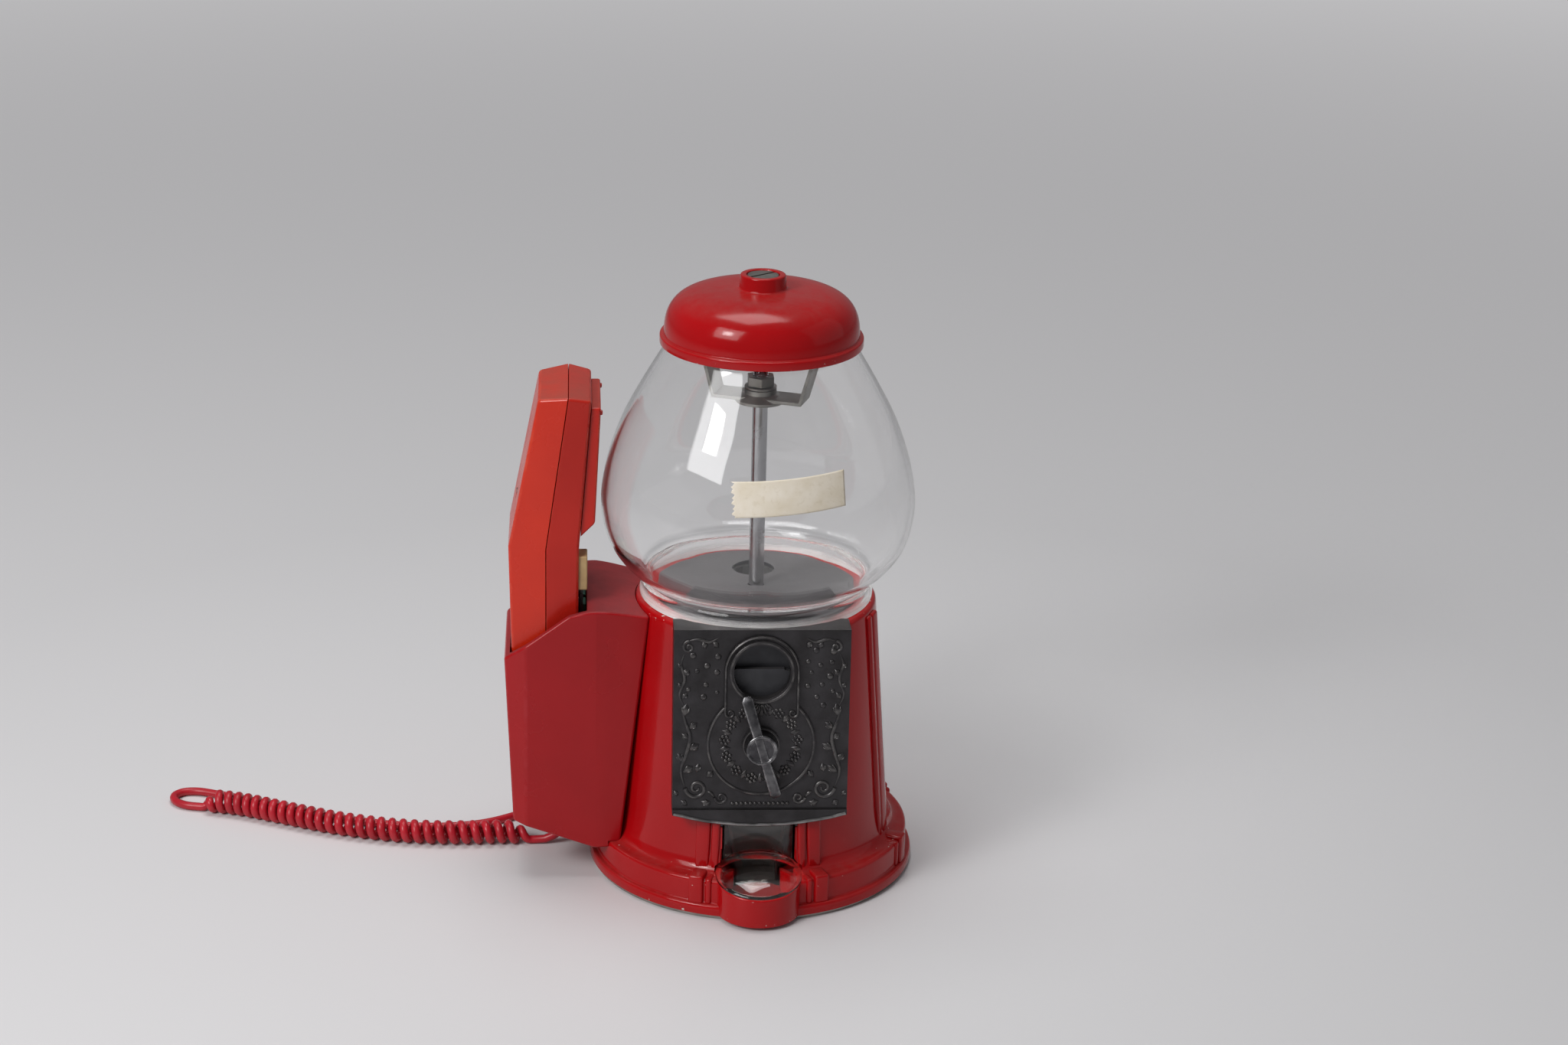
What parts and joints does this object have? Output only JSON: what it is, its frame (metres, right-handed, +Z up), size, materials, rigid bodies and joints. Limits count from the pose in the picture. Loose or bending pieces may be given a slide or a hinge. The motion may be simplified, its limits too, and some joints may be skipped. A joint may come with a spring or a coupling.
{
  "type": "gumball machine telephone",
  "caption": "Red cast gumball machine with glass globe, coin mechanism and chute, and a push-button telephone handset in a side holster with a curly cord",
  "frame": {"origin": "on the surface the machine stands on, at the machine's own vertical axis", "axes": "+Z up; the front plate with handle and chute faces -Y; the holster and handset are on the -X side"},
  "size_m": [0.3603, 0.2353, 0.286],
  "materials": {
    "red_enamel": "gloss enamel",
    "dark_pewter": "worn dark cast metal",
    "clear_glass": "clear",
    "clear_plastic": "clear, slightly scratched",
    "zinc_plate": "dull zinc plate",
    "chrome": "bright",
    "steel": "worn steel",
    "grey_nylon": "moulded",
    "dark_red_plastic": "moulded gloss",
    "orange_red_plastic": "moulded gloss",
    "yellowed_ivory_plastic": "yellowed",
    "black_plastic": "moulded",
    "green_plastic": "moulded",
    "board_green": "lacquered board",
    "red_vinyl": "satin",
    "plug_plastic": "clear"
  },
  "bodies": {
    "machine": {"base_body": "red_enamel", "bottom_plate": "zinc_plate", "bottom_nut": "zinc_plate", "tie_rod": "chrome", "centre_pillar": "zinc_plate", "wheel_floor": "zinc_plate", "hopper_plate": "dark_pewter", "hopper_cover": "zinc_plate", "globe": "clear_glass", "hold_down_strap": "zinc_plate", "rod_washer": "steel", "rod_nut": "zinc_plate", "front_plate": "dark_pewter", "coin_backing": "dark_pewter", "plate_nut_upper_left": "zinc_plate", "plate_nut_upper_right": "zinc_plate", "plate_nut_lower_left": "zinc_plate", "plate_nut_lower_right": "zinc_plate", "chute_ramp": "zinc_plate", "flap_pin": "steel", "holster": "dark_red_plastic", "holster_screw_upper": "steel", "holster_screw_lower": "steel", "cord_strain_relief": "black_plastic", "curly_cord": "red_vinyl", "cord_tail": "red_vinyl", "cord_coil": "red_vinyl", "cord_tie": "black_plastic", "cord_plug": "plug_plastic"},
    "handle": {"handle": "steel", "coin_carrier": "zinc_plate", "drive_finger": "steel", "shaft_nut": "zinc_plate"},
    "vending_wheel": {"vending_wheel": "grey_nylon"},
    "ratchet_pawl": {"ratchet_pawl": "steel"},
    "chute_flap": {"chute_flap": "clear_plastic"},
    "cap": {"cap": "red_enamel"},
    "cap_lock_screw": {"cap_lock_screw": "zinc_plate"},
    "handset": {"handset_back_shell": "orange_red_plastic", "handset_front_shell": "orange_red_plastic", "earpiece_cover": "orange_red_plastic", "keypad_bezel": "black_plastic", "circuit_board": "board_green", "speaker_capsule": "black_plastic", "microphone_capsule": "black_plastic", "handset_screw_upper": "steel", "handset_screw_lower": "steel"},
    "hook_plunger": {"hook_plunger": "yellowed_ivory_plastic"},
    "key_1": {"key_1": "green_plastic"},
    "key_2": {"key_2": "green_plastic"},
    "key_3": {"key_3": "green_plastic"},
    "key_4": {"key_4": "green_plastic"},
    "key_5": {"key_5": "green_plastic"},
    "key_6": {"key_6": "green_plastic"},
    "key_7": {"key_7": "green_plastic"},
    "key_8": {"key_8": "green_plastic"},
    "key_9": {"key_9": "green_plastic"},
    "key_10": {"key_10": "green_plastic"},
    "key_11": {"key_11": "green_plastic"},
    "key_12": {"key_12": "green_plastic"}
  },
  "joints": [
    {"name": "handle_turn", "type": "hinge", "parent": "machine", "child": "handle", "pos_m": [0, -0.06023, 0.0818], "axis": [0, -0.9981, 0.061], "continuous": true},
    {"name": "wheel_turn", "type": "hinge", "parent": "machine", "child": "vending_wheel", "pos_m": [0, 0, 0.126], "axis": [0, 0, 1], "continuous": true},
    {"name": "pawl_swing", "type": "hinge", "parent": "machine", "child": "ratchet_pawl", "pos_m": [0.031, -0.05754, 0.05538], "axis": [0, 0.9981, -0.061], "range_deg": [0, 6], "stiffness_Nm_per_rad": 0.02},
    {"name": "flap_swing", "type": "hinge", "parent": "machine", "child": "chute_flap", "pos_m": [0, -0.05703, 0.0424], "axis": [-1, 0, 0], "range_deg": [0, 60]},
    {"name": "cap_lift", "type": "slide", "parent": "machine", "child": "cap", "axis": [0, 0, 1], "range_m": [0, 0.06]},
    {"name": "lock_screw_turn", "type": "hinge", "parent": "cap", "child": "cap_lock_screw", "pos_m": [0, 0, 0.28], "axis": [0, 0, 1], "range_deg": [0, 720]},
    {"name": "handset_lift", "type": "slide", "parent": "machine", "child": "handset", "axis": [0, 0, 1], "range_m": [0, 0.12]},
    {"name": "hook_press", "type": "slide", "parent": "handset", "child": "hook_plunger", "axis": [-1, 0, 0], "range_m": [0, 0.002], "stiffness_N_per_m": 200},
    {"name": "key_1_press", "type": "slide", "parent": "handset", "child": "key_1", "axis": [-1, 0, 0], "range_m": [0, 0.001], "stiffness_N_per_m": 300},
    {"name": "key_2_press", "type": "slide", "parent": "handset", "child": "key_2", "axis": [-1, 0, 0], "range_m": [0, 0.001], "stiffness_N_per_m": 300},
    {"name": "key_3_press", "type": "slide", "parent": "handset", "child": "key_3", "axis": [-1, 0, 0], "range_m": [0, 0.001], "stiffness_N_per_m": 300},
    {"name": "key_4_press", "type": "slide", "parent": "handset", "child": "key_4", "axis": [-1, 0, 0], "range_m": [0, 0.001], "stiffness_N_per_m": 300},
    {"name": "key_5_press", "type": "slide", "parent": "handset", "child": "key_5", "axis": [-1, 0, 0], "range_m": [0, 0.001], "stiffness_N_per_m": 300},
    {"name": "key_6_press", "type": "slide", "parent": "handset", "child": "key_6", "axis": [-1, 0, 0], "range_m": [0, 0.001], "stiffness_N_per_m": 300},
    {"name": "key_7_press", "type": "slide", "parent": "handset", "child": "key_7", "axis": [-1, 0, 0], "range_m": [0, 0.001], "stiffness_N_per_m": 300},
    {"name": "key_8_press", "type": "slide", "parent": "handset", "child": "key_8", "axis": [-1, 0, 0], "range_m": [0, 0.001], "stiffness_N_per_m": 300},
    {"name": "key_9_press", "type": "slide", "parent": "handset", "child": "key_9", "axis": [-1, 0, 0], "range_m": [0, 0.001], "stiffness_N_per_m": 300},
    {"name": "key_10_press", "type": "slide", "parent": "handset", "child": "key_10", "axis": [-1, 0, 0], "range_m": [0, 0.001], "stiffness_N_per_m": 300},
    {"name": "key_11_press", "type": "slide", "parent": "handset", "child": "key_11", "axis": [-1, 0, 0], "range_m": [0, 0.001], "stiffness_N_per_m": 300},
    {"name": "key_12_press", "type": "slide", "parent": "handset", "child": "key_12", "axis": [-1, 0, 0], "range_m": [0, 0.001], "stiffness_N_per_m": 300}
  ],
  "couplings": [
    {"joint": "wheel_turn", "follows": "handle_turn", "ratio": -0.16667}
  ]
}
